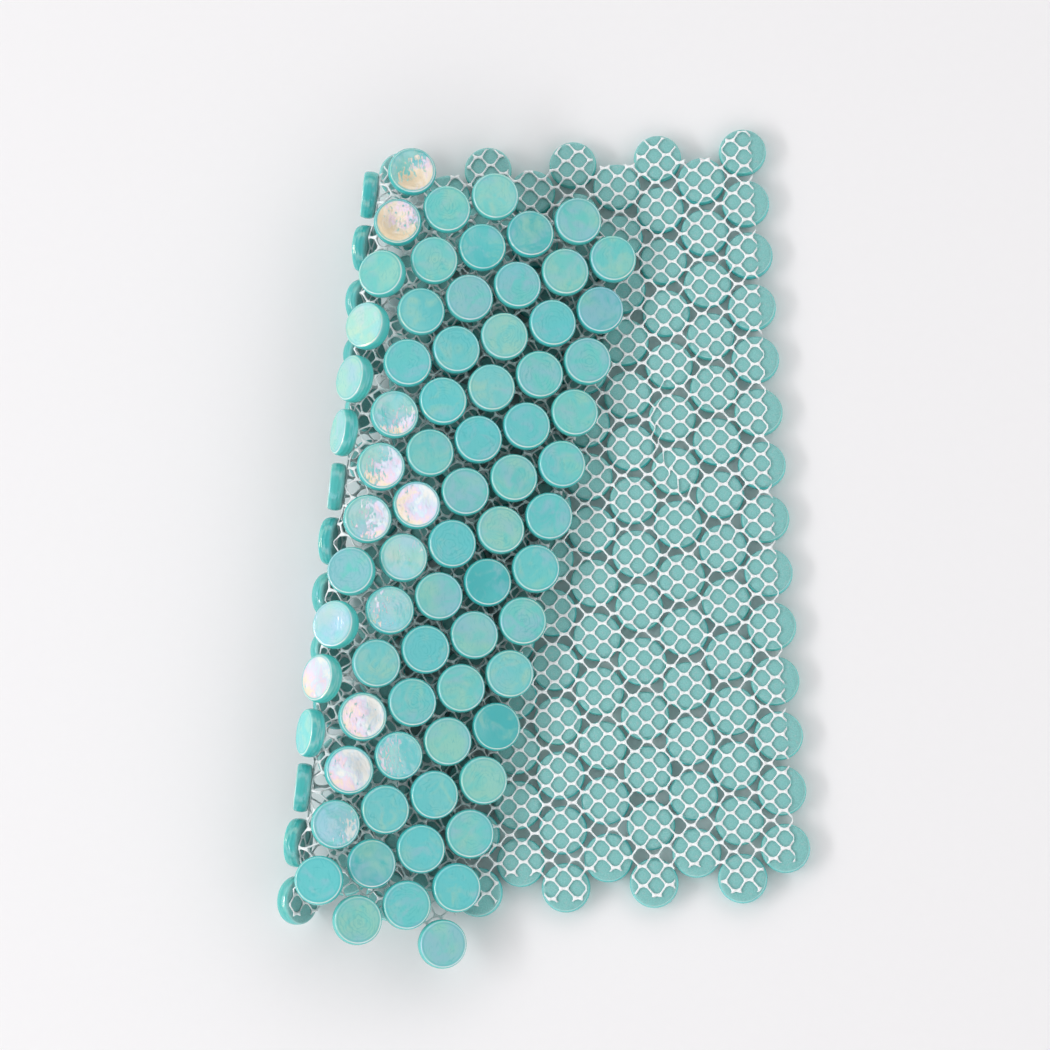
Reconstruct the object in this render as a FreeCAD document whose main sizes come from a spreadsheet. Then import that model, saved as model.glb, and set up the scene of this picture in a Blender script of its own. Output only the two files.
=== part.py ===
import FreeCAD, Part
import math
import os
import Sketcher

# Mosaic tile sheet, lying face down, with its left part curled up and over.
#
# Round glass tiles stand in columns on a net that is glued to their backs. Each second column
# is half a pitch lower. The sheet lies face down with the net up. Towards the left the net
# curls up on a slanted line and comes back as a flap that shows the faces of its tiles. The
# flap slopes down until its outer tiles rest on the net of the flat part.
#
# The net is a thin sheet with an opening over each gap between two tiles of a column. Its
# ends are trimmed round the tiles, which stick out there by turns.
#
# Lengths are millimetres and angles are degrees. X points to the right along the rows, Y along
# the columns and Z up. The origin is the middle of the face of one tile near the middle of the
# flat part, on the ground that the sheet lies on.

Vector = FreeCAD.Vector

# Driving dimensions: name, value, meaning
DIMENSIONS = (
    ("tile_diameter", 19.0, "outer diameter of a round tile"),
    ("tile_thickness", 6.0, "face to back of a tile"),
    ("column_count", 16, "columns of tiles across the sheet"),
    ("tiles_in_column", 14, "tiles in each column"),
    ("column_gap", 2.2, "between neighbouring tiles of one column"),
    ("slant_gap", 1.0, "between neighbouring tiles of two columns"),
    ("last_row_gap", 0.8, "extra space above the last tile of each column"),
    ("tile_pitch", "=tile_diameter + column_gap", "centre to centre down a column"),
    ("slant_pitch", "=tile_diameter + slant_gap", "centre to centre across two columns"),
    ("column_spacing", "=sqrt(slant_pitch ^ 2 - tile_pitch ^ 2 / 4)", "column to column"),
    ("glue_film", 0.3, "glue between the tile backs and the net"),
    ("mesh_thickness", 0.8, "thickness of the net"),
    ("side_margin", 3.5, "net left beyond the centres of the first and the last column"),
    ("tab_reach", 6.0, "net left beyond the centres of the tiles that stick out at the ends"),
    ("tab_width", 14.0, "width of the net on such a tile"),
    ("top_reach", 8.6, "net left beyond the centres of the tiles between them, at the top"),
    ("bottom_reach", 5.5, "the same at the bottom"),
    ("opening_width", 14.0, "width of the openings in the net, across the columns"),
    ("opening_height", 4.4, "height of the openings in the net"),
    ("open_columns_right", 8, "columns with such openings, counted from the right edge"),
    ("open_columns_left", 4, "columns with such openings, counted from the left edge"),
    ("fold_start", 155.5, "first column to the line where the curl starts, halfway down"),
    ("fold_skew", 8.98, "angle of the fold line to the columns"),
    ("fold_radius_top", 10.34, "bend radius of the tile backs at the top end of the fold"),
    ("fold_radius_bottom", 8.24, "bend radius of the tile backs at the bottom end of the fold"),
    ("lift_run", 60.0, "length of net before the curl that the tiles on the curl hold up"),
    ("rest_clearance", 0.3, "left between the flap's outer tiles and the net under them"),
    ("origin_column", 5, "column of the tile at the origin, counted from the right"),
    ("origin_tile", 8, "place of that tile in its column, counted from the top"),
)


def make_sheet(doc):
    """The spreadsheet that holds the driving dimensions."""
    sheet = doc.addObject("Spreadsheet::Sheet", "dimensions")
    for row, (name, value, meaning) in enumerate(DIMENSIONS, start=1):
        sheet.set("A%d" % row, name)
        sheet.set("B%d" % row, str(value))
        sheet.setAlias("B%d" % row, name)
        sheet.set("C%d" % row, meaning)
    doc.recompute()
    return sheet


def origin_plane(body, role):
    """One of the body's own origin planes, found by its role."""
    return next(plane for plane in body.Origin.OriginFeatures if plane.Role == role)


def make_tile(doc, sizes):
    """One round tile on its back at z = 0, with its face up."""
    body = doc.addObject("PartDesign::Body", "tile")
    body.Label = "tile"
    outline = body.newObject("Sketcher::SketchObject", "tile_outline")
    outline.AttachmentSupport = [(origin_plane(body, "XY_Plane"), "")]
    outline.MapMode = "FlatFace"
    rim = Part.Circle(Vector(0, 0, 0), Vector(0, 0, 1), sizes.tile_diameter / 2)
    circle = outline.addGeometry(rim, False)
    outline.addConstraint(Sketcher.Constraint("Coincident", circle, 3, -1, 1))
    diameter = outline.addConstraint(Sketcher.Constraint("Diameter", circle, sizes.tile_diameter))
    outline.setExpression("Constraints[%d]" % diameter, "dimensions.tile_diameter")
    disc = body.newObject("PartDesign::Pad", "tile_disc")
    disc.Profile = outline
    disc.setExpression("Length", "dimensions.tile_thickness")
    body.Tip = disc
    doc.recompute()
    return body


def between(start, end, share):
    """The value that lies at this share of the way from start to end."""
    return start + (end - start) * share


class BentSheet:
    """The bent surface that the backs of all the tiles lie on.

    A place on the sheet is given as x and y on the sheet laid flat, measured from the first
    tile of the first column. The fold line runs through the anchor. Seen from it, every place
    also has a way across the fold and a way along it. The radius changes evenly along the fold,
    so the curl is part of a cone. Tiles that lean on the curl stand on the rims of their faces,
    so the curl starts a little above the flat part, at the end of a gentle rise. The slope of the
    flap follows from the radius and from how far the flap reaches: its outer tiles come down on
    the net of the flat part.
    """

    def __init__(self, sizes):
        skew = math.radians(sizes.fold_skew)
        self.sizes = sizes
        self.half_length = ((sizes.tiles_in_column - 1) + 0.5) * sizes.tile_pitch / 2
        self.anchor = Vector(-sizes.fold_start, -self.half_length, sizes.tile_thickness)
        self.along = Vector(math.sin(skew), math.cos(skew), 0)
        self.across = Vector(-math.cos(skew), math.sin(skew), 0)
        self.outer_column = -(sizes.column_count - 1) * sizes.column_spacing
        self.net_height = sizes.glue_film + sizes.mesh_thickness

    def radius(self, along):
        """Bend radius at this place along the fold."""
        share = (along + self.half_length) / (2 * self.half_length)
        return between(self.sizes.fold_radius_bottom, self.sizes.fold_radius_top, share)

    def lift(self, across, radius):
        """Height that the rise before the curl adds at this way across the fold.

        A tile that leans on the curl reaches lowest when its back tilts like the diagonal of
        its own half section. The full lift brings that lowest rim to the ground.
        """
        to_face = radius + self.sizes.tile_thickness
        full = math.hypot(to_face, self.sizes.tile_diameter / 2) - to_face
        share = max(min(across / self.sizes.lift_run + 1, 1), 0)
        return full * (1 - math.cos(math.pi * share)) / 2

    def reach(self, along):
        """Way across the fold to the outer side of the flap's outer tiles."""
        offset = self.outer_column - self.anchor.x
        down = (along - offset * self.along.x) / self.along.y
        return offset * self.across.x + down * self.across.y + self.sizes.tile_diameter / 2

    def slope(self, along):
        """Angle at which the flap comes down, in radians, found by halving a range."""
        radius = self.radius(along)
        reach = self.reach(along)
        low, high = 0.0, math.pi / 2
        for _ in range(50):
            slope = (low + high) / 2
            flap = reach - (math.pi + slope) * radius
            back = radius * math.sin(slope) + flap * math.cos(slope)
            height = self.lift(0, radius) + radius * (1 + math.cos(slope)) - flap * math.sin(slope)
            if height > self.lift(-back, radius) + self.net_height + self.sizes.rest_clearance:
                low = slope
            else:
                high = slope
        return low

    def curl_length(self, along):
        """Way across the fold from where the net lifts to where the flap starts."""
        return (math.pi + self.slope(along)) * self.radius(along)

    def point(self, x, y):
        """Where this place of the flat sheet is on the bent one."""
        offset = Vector(x, y, 0) - Vector(self.anchor.x, self.anchor.y, 0)
        across = offset.dot(self.across)
        along = offset.dot(self.along)
        radius = self.radius(along)
        lift = self.lift(across, radius)
        if across <= 0:
            return Vector(x, y, self.anchor.z + lift)
        turn = min(across, self.curl_length(along)) / radius
        flap = max(across - self.curl_length(along), 0)
        out = radius * math.sin(turn) + flap * math.cos(turn)
        height = radius * (1 - math.cos(turn)) + flap * math.sin(turn)
        return self.anchor + self.across * out + self.along * along + Vector(0, 0, lift + height)

    def normal(self, x, y):
        """Unit vector from the net towards the tile faces, from four points close by."""
        step = 0.01
        way_x = self.point(x + step, y) - self.point(x - step, y)
        way_y = self.point(x, y + step) - self.point(x, y - step)
        return way_y.cross(way_x).normalize()

    def outer_skin(self, x, y):
        """This place on the side of the net that the tiles are glued to."""
        return self.point(x, y) - self.normal(x, y) * self.sizes.glue_film

    def inner_skin(self, x, y):
        """The same place on the other side of the net."""
        return self.point(x, y) - self.normal(x, y) * self.net_height

    def seat(self, x, y):
        """Where a tile's back goes, and the way its face points.

        A tile that would reach into the ground is raised onto it.
        """
        back, normal = self.point(x, y), self.normal(x, y)
        dip = self.sizes.tile_diameter / 2 * math.hypot(normal.x, normal.y)
        lowest = back.z + normal.z * self.sizes.tile_thickness - dip
        return back + Vector(0, 0, max(-lowest, 0)), normal

    def along_at(self, across_at, y):
        """The way along the fold where a line across it meets a line of equal y."""
        along = (y - self.anchor.y) / self.along.y
        for _ in range(30):
            along = (y - self.anchor.y - across_at(along) * self.across.y) / self.along.y
        return along


def tile_centre(sizes, column, tile):
    """Middle of a tile on the flat sheet; both counts start at 0."""
    x = -column * sizes.column_spacing
    y = -(tile + 0.5 * (column % 2)) * sizes.tile_pitch
    if tile == sizes.tiles_in_column - 1:
        y -= sizes.last_row_gap
    return x, y


def make_column(doc, sizes, bent, tile_shape, column):
    """One column of tiles, each seated with its back on the bent net."""
    tiles = []
    for tile in range(int(sizes.tiles_in_column)):
        x, y = tile_centre(sizes, column, tile)
        back, normal = bent.seat(x, y)
        placed = tile_shape.copy()
        placed.Placement = FreeCAD.Placement(back, FreeCAD.Rotation(Vector(0, 0, 1), normal))
        tiles.append(placed)
    name = "tile_column_%02d" % (column + 1)
    node = doc.addObject("Part::Feature", name)
    node.Label = name
    node.Shape = Part.Compound(tiles)
    return node


def shares(steps):
    """Even shares from 0 to 1."""
    return [step / steps for step in range(steps + 1)]


def net_ends(sizes):
    """How far down and up the flat net goes."""
    lowest = tile_centre(sizes, 1, sizes.tiles_in_column - 1)[1]
    return lowest - sizes.tab_reach, sizes.tab_reach


def mesh_lines(sizes, bent):
    """Lines from edge to edge of the net, close together on the curl and wide apart elsewhere.

    Each line is given by its two ends on the flat sheet, first on the bottom edge and then on
    the top edge. The lines follow each other from right to left, from where the rise starts.
    """
    rise_steps, curl_steps, flap_steps = 6, 12, 4
    edges = net_ends(sizes)

    def line(across_at):
        ends = []
        for y in edges:
            along = bent.along_at(across_at, y)
            spot = bent.anchor + bent.across * across_at(along) + bent.along * along
            ends.append((spot.x, y))
        return ends

    rise = [line(lambda along: (share - 1) * sizes.lift_run) for share in shares(rise_steps)]
    curl = [line(lambda along: share * bent.curl_length(along)) for share in shares(curl_steps)]
    left = bent.outer_column - sizes.side_margin
    flap = [[(between(x, left, share), y) for x, y in curl[-1]] for share in shares(flap_steps)]
    return rise + curl[1:] + flap[1:]


def bent_line(line, skin):
    """The curve that a line follows on one skin of the net, and its two ends."""
    steps_up = 4
    spots = [skin(*[between(*ends, share) for ends in zip(*line)]) for share in shares(steps_up)]
    curve = Part.BSplineCurve()
    curve.interpolate(spots)
    return curve.toShape(), spots[0], spots[-1]


def mesh_skin(sizes, lines, skin):
    """One skin of the net: its faces, and its outer edges in a fixed order.

    The skin runs straight from line to line, because a net that is glued to stiff tiles
    doesn't bend evenly.
    """
    (low_x, low_y), (high_x, high_y) = lines[0]
    low_right = skin(sizes.side_margin, low_y)
    high_right = skin(sizes.side_margin, high_y)
    curves, low_ends, high_ends = zip(*[bent_line(line, skin) for line in lines])
    right_edge = Part.makeLine(high_right, low_right)
    low_edges = [Part.makeLine(*ends) for ends in zip((low_right,) + low_ends, low_ends)]
    high_edges = [Part.makeLine(*ends) for ends in zip((high_right,) + high_ends, high_ends)]
    flat = Part.Face(Part.Wire([right_edge, low_edges[0], curves[0], high_edges[0]]))
    strips = Part.makeLoft([Part.Wire(curve) for curve in curves], False, True)
    return [flat] + strips.Faces, [right_edge, curves[-1]] + low_edges + high_edges


def cutter(sizes, bent, left, right, low, high):
    """A solid that cuts this rectangle of the flat sheet out of the bent net.

    It reaches well past the net on the side of the tiles, and little on the free side, where
    the flap hangs close above the flat part.
    """
    tile_side, free_side, bend_step = 1.0, 0.3, 25.0
    middle = (low + high) / 2
    bend = bent.normal(left, middle).getAngle(bent.normal(right, middle))
    sections = []
    for share in shares(1 + int(math.degrees(bend) / bend_step)):
        x = between(left, right, share)
        inward = bent.normal(x, middle) * -1
        near = inward * (sizes.glue_film - tile_side)
        far = inward * (bent.net_height + free_side)
        start, end = bent.point(x, low), bent.point(x, high)
        corners = [start + near, end + near, end + far, start + far]
        sections.append(Part.makePolygon(corners + corners[:1]))
    return Part.makeLoft(sections, True, True)


def openings(sizes, bent):
    """Cutters for the openings, one over each gap between two tiles of a column.

    The columns that the fold passes through have none.
    """
    half_width, half_height = sizes.opening_width / 2, sizes.opening_height / 2
    columns = list(range(int(sizes.column_count)))
    right, left = int(sizes.open_columns_right), int(sizes.open_columns_left)
    cutters = []
    for column in columns[:right] + columns[len(columns) - left:]:
        for tile in range(int(sizes.tiles_in_column) - 1):
            x, upper = tile_centre(sizes, column, tile)
            middle = (upper + tile_centre(sizes, column, tile + 1)[1]) / 2
            cutters.append(cutter(
                sizes, bent, x - half_width, x + half_width,
                middle - half_height, middle + half_height,
            ))
    return cutters


def notches(sizes, bent):
    """Cutters that trim the two ends of the net round the tiles that stick out there."""
    beyond = 1.0
    bottom, top = net_ends(sizes)
    half_tab = sizes.tab_width / 2
    count = int(sizes.column_count)
    cutters = []
    for column in range(count):
        x, first = tile_centre(sizes, column, 0)
        last = tile_centre(sizes, column, sizes.tiles_in_column - 1)[1]
        if column % 2:
            low, high = first + sizes.top_reach, top + beyond
        else:
            low, high = bottom - beyond, last - sizes.bottom_reach
        left = x - sizes.column_spacing + half_tab
        right = x + sizes.column_spacing - half_tab
        if column == 0:
            right = sizes.side_margin + beyond
        if column == count - 1:
            left = x - sizes.side_margin - beyond
        cutters.append(cutter(sizes, bent, left, right, low, high))
    return cutters


def make_mesh(doc, sizes, bent):
    """The net as one thin bent sheet: two skins with narrow faces between their edges.

    The openings and the trimmed ends are cut into it afterwards. Where the curl is tight a cut
    could leave a loose sliver, so only the largest solid is kept.
    """
    lines = mesh_lines(sizes, bent)
    outer_faces, outer_edges = mesh_skin(sizes, lines, bent.outer_skin)
    inner_faces, inner_edges = mesh_skin(sizes, lines, bent.inner_skin)
    faces = outer_faces + inner_faces
    for outer_edge, inner_edge in zip(outer_edges, inner_edges):
        side = Part.makeLoft([Part.Wire(outer_edge), Part.Wire(inner_edge)], False, True)
        faces += side.Faces
    sewn = Part.Compound(faces)
    sewn.sewShape(0.001)
    node = doc.addObject("Part::Feature", "mesh_backing")
    node.Label = "mesh_backing"
    whole = Part.makeSolid(sewn.Shells[0])
    trimmed = whole.cut(openings(sizes, bent) + notches(sizes, bent))
    node.Shape = max(trimmed.Solids, key=lambda solid: solid.Volume)
    return node


class Sizes:
    """The sheet's values as plain attributes."""

    def __init__(self, sheet):
        for name, _, _ in DIMENSIONS:
            setattr(self, name, sheet.get(name))


def check(doc, nodes):
    """Stops with a message when an object failed or a shape is empty or broken."""
    for thing in doc.Objects:
        if "Invalid" in thing.State or "Error" in thing.State:
            raise RuntimeError("%s failed: %s" % (thing.Label, thing.State))
    for node in nodes:
        if node.Shape.isNull() or not node.Shape.isValid():
            raise RuntimeError("%s has no valid shape" % node.Label)


def main():
    doc = FreeCAD.newDocument("mosaic_tile_sheet")
    sheet = make_sheet(doc)
    sizes = Sizes(sheet)
    tile = make_tile(doc, sizes)
    bent = BentSheet(sizes)
    columns = range(int(sizes.column_count))
    nodes = [make_column(doc, sizes, bent, tile.Shape, column) for column in columns]
    nodes.append(make_mesh(doc, sizes, bent))
    x, y = tile_centre(sizes, sizes.origin_column - 1, sizes.origin_tile - 1)
    for node in nodes:
        node.Placement = FreeCAD.Placement(Vector(-x, -y, 0), FreeCAD.Rotation())
    doc.recompute()
    check(doc, [tile] + nodes)
    os.makedirs("parts", exist_ok=True)
    for node in nodes:
        node.Shape.exportStep("parts/%s.step" % node.Label)
    whole = Part.Compound([node.Shape for node in nodes]).BoundBox
    glass = sum(node.Shape.Volume for node in nodes[:-1])
    print("size %.1f x %.1f x %.1f mm" % (whole.XLength, whole.YLength, whole.ZLength))
    print("corner %.2f %.2f %.2f" % (whole.XMin, whole.YMin, whole.ZMin))
    print("glass %.1f cm3, net %.2f cm3" % (glass / 1000, nodes[-1].Shape.Volume / 1000))


main()
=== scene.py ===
# %% [markdown]
# # A mosaic tile sheet, folded over
#
# The sheet is made of round glass tiles that a white net holds together. It lies face down with
# the net up, and its left part is curled over, so that part shows the tiles' faces. Two kinds of
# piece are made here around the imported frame: the glass tiles, one object to each column, and
# the net.

# %% Load the frame
import bmesh
import bpy
import math
import numpy as np
from mathutils import Matrix, Vector, noise


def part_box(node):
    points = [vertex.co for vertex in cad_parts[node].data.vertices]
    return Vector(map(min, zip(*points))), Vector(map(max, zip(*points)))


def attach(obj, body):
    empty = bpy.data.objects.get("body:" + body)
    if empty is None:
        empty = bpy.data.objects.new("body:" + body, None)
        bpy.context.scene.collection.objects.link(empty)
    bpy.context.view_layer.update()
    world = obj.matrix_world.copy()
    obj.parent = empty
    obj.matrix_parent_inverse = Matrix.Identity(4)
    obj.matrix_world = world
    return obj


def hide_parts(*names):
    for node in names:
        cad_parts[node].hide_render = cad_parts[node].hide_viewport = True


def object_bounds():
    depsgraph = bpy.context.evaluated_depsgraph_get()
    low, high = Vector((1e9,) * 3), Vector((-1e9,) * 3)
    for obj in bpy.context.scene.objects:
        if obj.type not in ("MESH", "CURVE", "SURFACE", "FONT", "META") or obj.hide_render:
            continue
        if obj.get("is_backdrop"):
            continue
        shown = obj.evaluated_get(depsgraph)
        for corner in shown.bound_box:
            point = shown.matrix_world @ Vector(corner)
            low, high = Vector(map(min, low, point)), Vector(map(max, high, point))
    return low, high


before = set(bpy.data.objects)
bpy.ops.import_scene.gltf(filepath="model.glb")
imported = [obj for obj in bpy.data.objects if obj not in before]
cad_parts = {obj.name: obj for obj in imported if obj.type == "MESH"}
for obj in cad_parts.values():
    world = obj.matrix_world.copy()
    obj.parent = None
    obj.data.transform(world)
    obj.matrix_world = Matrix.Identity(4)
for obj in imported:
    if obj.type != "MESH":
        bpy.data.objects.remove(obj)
cad_low, cad_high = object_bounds()
print("frame box in mm:", [round(1000 * side, 1) for side in cad_high - cad_low])

# %% [markdown]
# ## Sizes
#
# Everything is worked out in millimetres, as a maker would measure it, and goes into the meshes
# as metres. The sheet is first thought of as laid flat. The first tile of the first column is
# at the flat sheet's zero, x runs to the right and y up the page. Every second column starts
# half a tile lower, so that the round tiles sit in each other's notches.

# %% The sheet's sizes
MM = 0.001
tile_diameter, tile_thickness = 19.0, 6.0
column_count, tiles_in_column = 16, 14
gap_in_column, gap_to_next_column = 2.2, 1.0
tile_pitch = tile_diameter + gap_in_column
slant_pitch = tile_diameter + gap_to_next_column
column_spacing = math.sqrt(slant_pitch ** 2 - tile_pitch ** 2 / 4)
# the last tile of each column is set a little further down
last_row_gap = 0.8
glue_film, net_thickness = 0.3, 0.8
# the frame's zero is under this tile, counted from 0
origin_column, origin_tile = 4, 7


def tile_place(column, tile):
    """Middle of a tile on the flat sheet; both counts start at 0."""
    y = -(tile + 0.5 * (column % 2)) * tile_pitch
    return -column * column_spacing, y - (last_row_gap if tile == tiles_in_column - 1 else 0)


origin = np.array([*tile_place(origin_column, origin_tile), 0])
print("columns", round(column_spacing, 2), "mm apart, tiles", tile_pitch, "mm apart")

# %% [markdown]
# ## The bent surface
#
# The backs of the tiles lie on one surface, flat on the right, curled on the left and then
# coming back as a sloping flap. It is a cone rather than a roll, because the fold is wider at
# the top end. It could be sculpted, but a formula keeps every tile and every thread of the net
# on the same surface. The formula works on whole arrays of places at once, which is quick.

# %% The fold's sizes and directions
fold_start, fold_skew = 155.5, math.radians(8.98)
radius_top, radius_bottom = 10.34, 8.24
lift_run, rest_clearance = 60.0, 0.3
half_length = (tiles_in_column - 0.5) * tile_pitch / 2
anchor = np.array([-fold_start, -half_length, tile_thickness])
along_way = np.array([math.sin(fold_skew), math.cos(fold_skew), 0])
across_way = np.array([-math.cos(fold_skew), math.sin(fold_skew), 0])
outer_column = -(column_count - 1) * column_spacing
UP = np.array([0, 0, 1])


def bend_radius(along):
    """Bend radius at this way along the fold."""
    share = (along + half_length) / (2 * half_length)
    return radius_bottom + (radius_top - radius_bottom) * share


def lift(across, radius):
    """Height of the gentle rise before the curl."""
    full = np.hypot(radius + tile_thickness, tile_diameter / 2) - radius - tile_thickness
    share = np.clip(across / lift_run + 1, 0, 1)
    return full * (1 - np.cos(np.pi * share)) / 2


print("fold radius from", radius_bottom, "to", radius_top, "mm")

# %% [markdown]
# ## Curl and flap
#
# Past the fold's start the surface turns with the bend radius until the flap begins. The flap
# comes down until its outer tiles rest on the net under them. No short formula gives that angle,
# and setting it by eye would leave the flap hanging in the air or sunk in, so it is found by
# halving a range again and again.

# %% Bend the flat sheet
SLOPE_HALVINGS = 40


def flap_slope(along):
    """Angle at which the flap comes down, found by halving a range."""
    radius = bend_radius(along)
    offset = outer_column - anchor[0]
    down = (along - offset * along_way[0]) / along_way[1]
    reach = offset * across_way[0] + down * across_way[1] + tile_diameter / 2
    low, high = np.zeros_like(along), np.full_like(along, np.pi / 2)
    for _ in range(SLOPE_HALVINGS):
        slope = (low + high) / 2
        flap = reach - (np.pi + slope) * radius
        back = radius * np.sin(slope) + flap * np.cos(slope)
        height = lift(0, radius) + radius * (1 + np.cos(slope)) - flap * np.sin(slope)
        above = height > lift(-back, radius) + glue_film + net_thickness + rest_clearance
        low, high = np.where(above, slope, low), np.where(above, high, slope)
    return low


def bent(x, y):
    """Where places of the flat sheet are on the bent one, as rows of x, y and z."""
    x, y = np.asarray(x, float), np.asarray(y, float)
    offset = np.stack([x - anchor[0], y - anchor[1], 0 * x], -1)
    across, along = offset @ across_way, offset @ along_way
    radius = bend_radius(along)
    curl = (np.pi + flap_slope(along)) * radius
    turn, flap = np.clip(across, 0, curl) / radius, np.maximum(across - curl, 0)
    out = np.where(across > 0, radius * np.sin(turn) + flap * np.cos(turn), across)
    height = radius * (1 - np.cos(turn)) + flap * np.sin(turn) + lift(across, radius)
    below = anchor + out[:, None] * across_way + along[:, None] * along_way
    return below + height[:, None] * UP


middle_slope = flap_slope(np.array([0.0]))
print("in its middle the flap comes down at", np.degrees(middle_slope).round(1), "degrees")

# %% [markdown]
# ## Seats for the tiles
#
# A tile is stiff, so it touches the bent surface only at the middle of its back and takes the
# surface's direction there. Snapping each tile on by hand would do, but there are 224. Here two
# points close together on the surface give each direction. A tile that is tipped near the floor
# would dip into it with one side, so it is lifted by as much.

# %% Find the tiles' seats
AXES_STEP = 0.01


def unit(rows):
    """Each row with a length of 1."""
    return rows / np.linalg.norm(rows, axis=1)[:, None]


def bent_axes(x, y):
    """The bent sheet's own x way, y way and way towards the tile faces."""
    way_x = unit(bent(x + AXES_STEP, y) - bent(x - AXES_STEP, y))
    face_way = unit(np.cross(bent(x, y + AXES_STEP) - bent(x, y - AXES_STEP), way_x))
    return way_x, np.cross(way_x, face_way), face_way


places = [tile_place(c, t) for c in range(column_count) for t in range(tiles_in_column)]
tile_x, tile_y = np.array(places).T
tile_back = bent(tile_x, tile_y)
tile_ways = bent_axes(tile_x, tile_y)
face_way = tile_ways[2]
rim_dip = tile_diameter / 2 * np.hypot(face_way[:, 0], face_way[:, 1])
lowest = tile_back[:, 2] + face_way[:, 2] * tile_thickness - rim_dip
tile_back[:, 2] += np.maximum(-lowest, 0)
face_middle = (tile_back + face_way * tile_thickness - origin)[-1]
cad_last = [1000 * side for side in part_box("tile_column_%02d" % column_count)[0]]
print("last tile's face at", face_middle.round(1))
print("its column's low corner in the frame:", np.round(cad_last, 1))

# %% [markdown]
# ## One glass tile
#
# A tile is pressed from molten glass, so its edges are rounded and its face sinks a little in
# the middle. It could be a plain cylinder with a bevel. Here half of its outline is spun round
# its axis in twelve steps and smoothed by Subdivision Surface. That keeps the cage at about a
# hundred faces, which matters when there are more than two hundred tiles.

# %% Spin the tile's cage
TILE_STEPS, SMOOTH_LEVELS = 12, 2
# points closer than this, in millimetres, count as one
TOUCHING = 0.001
# a smoothed ring falls inside its cage, so the cage is wider by this much
cage_growth = 3 / (2 + math.cos(2 * math.pi / TILE_STEPS))
# distance from the axis and height over the back, from the back's middle to the face's
TILE_OUTLINE = (
    (0, 0.0), (8.1, 0.0), (9.0, 0.45), (9.58, 2.2), (9.5, 4.2), (9.15, 5.4), (8.65, 5.98),
    (8.15, 6.005), (4.5, 5.95), (0, 5.85),
)


def as_mesh(shape, name):
    """Turns a finished bmesh into a mesh."""
    mesh = bpy.data.meshes.new(name)
    shape.to_mesh(mesh)
    shape.free()
    return mesh


def in_order(shape):
    """The same shape, made anew with its faces in a fixed order.

    Spin and Inset shuffle them from run to run, and every run should give the same sheet.
    """
    shape.verts.index_update()
    rings = []
    for face in shape.faces:
        ring = [vert.index for vert in face.verts]
        first = ring.index(min(ring))
        rings.append(ring[first:] + ring[:first])
    ordered = bmesh.new()
    points = [ordered.verts.new(vert.co) for vert in shape.verts]
    for ring in sorted(rings):
        ordered.faces.new([points[corner] for corner in ring])
    ordered.normal_update()
    shape.free()
    return ordered


def tile_cage():
    """The cage of one tile: its back at z = 0 and its face up, in millimetres."""
    cage = bmesh.new()
    profile = [
        cage.verts.new((radius * cage_growth, 0, height)) for radius, height in TILE_OUTLINE
    ]
    edges = [cage.edges.new(pair) for pair in zip(profile, profile[1:])]
    bmesh.ops.spin(
        cage, geom=profile + edges, cent=(0, 0, 0), axis=(0, 0, 1), angle=2 * math.pi,
        steps=TILE_STEPS, use_merge=True,
    )
    bmesh.ops.remove_doubles(cage, verts=cage.verts, dist=TOUCHING)
    bmesh.ops.recalc_face_normals(cage, faces=cage.faces)
    return as_mesh(in_order(cage), "tile_cage")


cage_mesh = tile_cage()
print("tile cage:", len(cage_mesh.polygons), "faces")

# %% [markdown]
# ## How each tile sits
#
# No two tiles are quite alike: each is turned by chance, leans by up to a degree and is a hair
# out of round. Exact copies would all mirror the room alike, which looks lifeless. The chance
# numbers are seeded, so every run gives the same sheet.

# %% Turn the tiles
chance = np.random.default_rng(7)
most_wobble, least_round = math.radians(1.0), 0.985
# a tile whose axis has less height than this stands too steep to wobble or to lean, or lies
# face down
STEEP = 0.3


def tile_matrix(number):
    """Turns and moves the cage to this tile's seat, in metres."""
    way_x, way_y, axis = (Vector(ways[number]) for ways in tile_ways)
    seat = Matrix((way_x, -way_y, axis)).transposed().to_4x4()
    seat.translation = Vector(tile_back[number] - origin)
    lean = most_wobble if axis.z > STEEP else 0.0
    wobble = Matrix.Rotation(chance.uniform(-lean, lean), 4, "X")
    wobble = wobble @ Matrix.Rotation(chance.uniform(-lean, lean), 4, "Y")
    turned = Matrix.Rotation(chance.uniform(0, 2 * math.pi), 4, "Z")
    oval = chance.uniform(least_round, 1.0), chance.uniform(least_round, 1.0), 1, 1
    return Matrix.Scale(MM, 4) @ seat @ wobble @ turned @ Matrix.Diagonal(oval)


print("tiles wobble by up to", round(math.degrees(most_wobble), 1), "degree")

# %% [markdown]
# ## Tiles that mirror the softbox
#
# Being askew by a degree or two decides whether a tile mirrors the softbox overhead. That can't
# be left to chance, so the tiles that do are named. Tipping them would lift them off the net,
# so their shading is turned instead, by a small lean that goes along with each tile. The others
# lean away from the softbox where they would mirror it.

# %% Lean the shading
# how far the others lean away at least, and how far a named steep one leans up
least_askew, askew_up = 0.085, 0.2
# a reflection with less height than this passes below the softbox
LOW_RAY = 0.1
camera_place = Vector((0.0776, -0.1954, 1.1338))
softbox_place, softbox_width, softbox_length = Vector((0.465, 0.12, 1.45)), 0.12, 0.60
# how far from its middle, along its length, the softbox is mirrored
softbox_reach = softbox_length * 0.4
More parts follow.
